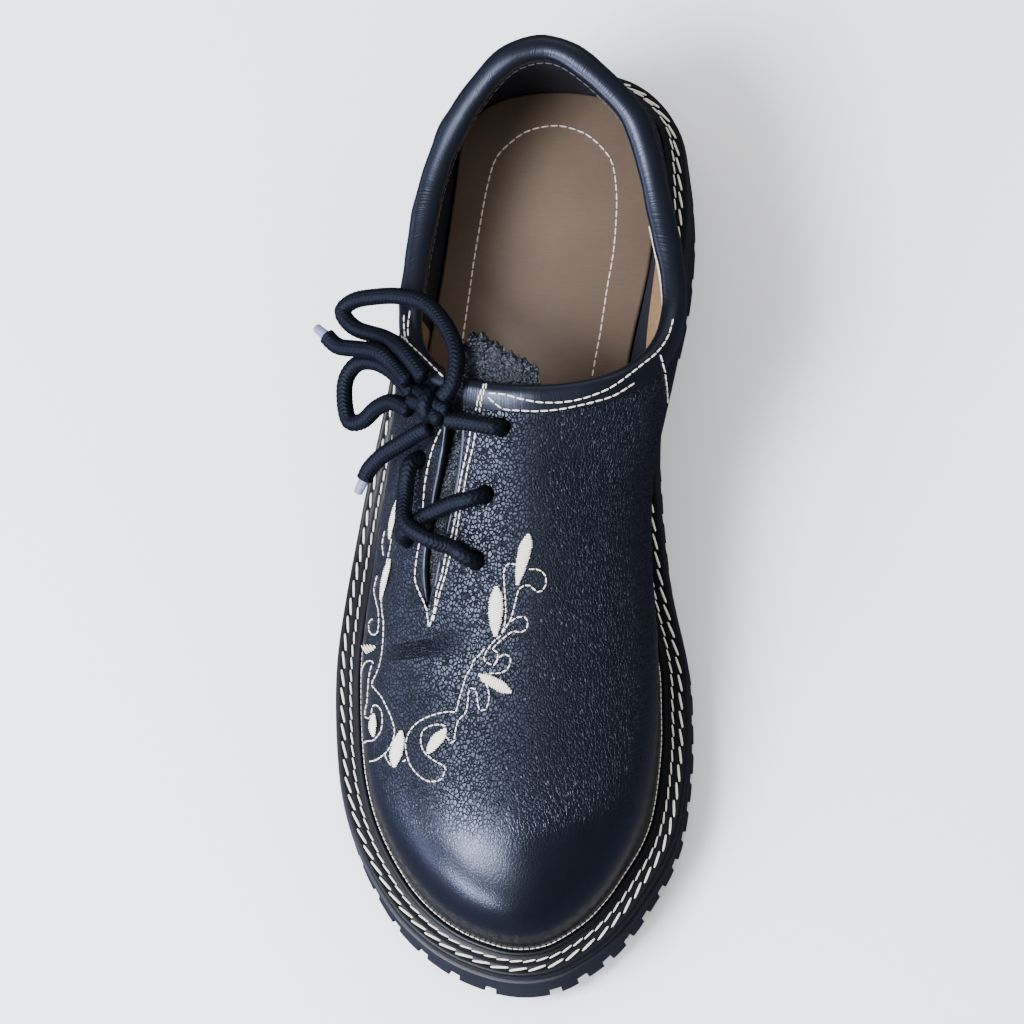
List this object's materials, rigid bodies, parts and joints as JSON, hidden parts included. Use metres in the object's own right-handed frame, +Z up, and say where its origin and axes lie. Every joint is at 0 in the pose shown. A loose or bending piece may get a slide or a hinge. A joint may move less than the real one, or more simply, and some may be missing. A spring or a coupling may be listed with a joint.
{
  "type": "side-laced leather shoe",
  "caption": "Low leather work shoe laced at the outer side, with a padded collar, stitched welt, leather insole and thick lugged rubber sole with heel block.",
  "frame": {"origin": "middle of the sole's length and width, on the floor", "axes": "-Y towards the toe, +X towards the inner side of the foot, +Z up"},
  "size_m": [0.1213, 0.305, 0.1052],
  "materials": {
    "upper": "semi-gloss full-grain",
    "collar": "semi-gloss",
    "tongue": "rough grain",
    "insole": "matte",
    "welt": "matte",
    "midsole": "matte",
    "outsole": "matte",
    "lace": "braided",
    "aglet": "satin"
  },
  "bodies": {
    "root": {"upper": "upper", "collar": "collar", "tongue": "tongue", "insole": "insole", "welt": "welt", "midsole": "midsole", "outsole": "outsole", "heel": "outsole", "lace_crossing": "lace", "lace_bar": "lace", "lace_knot": "lace", "lace_loop_large": "lace", "lace_loop_small": "lace", "lace_end_upper": "lace", "lace_end_lower": "lace", "aglet_upper": "aglet", "aglet_lower": "aglet"}
  },
  "joints": []
}
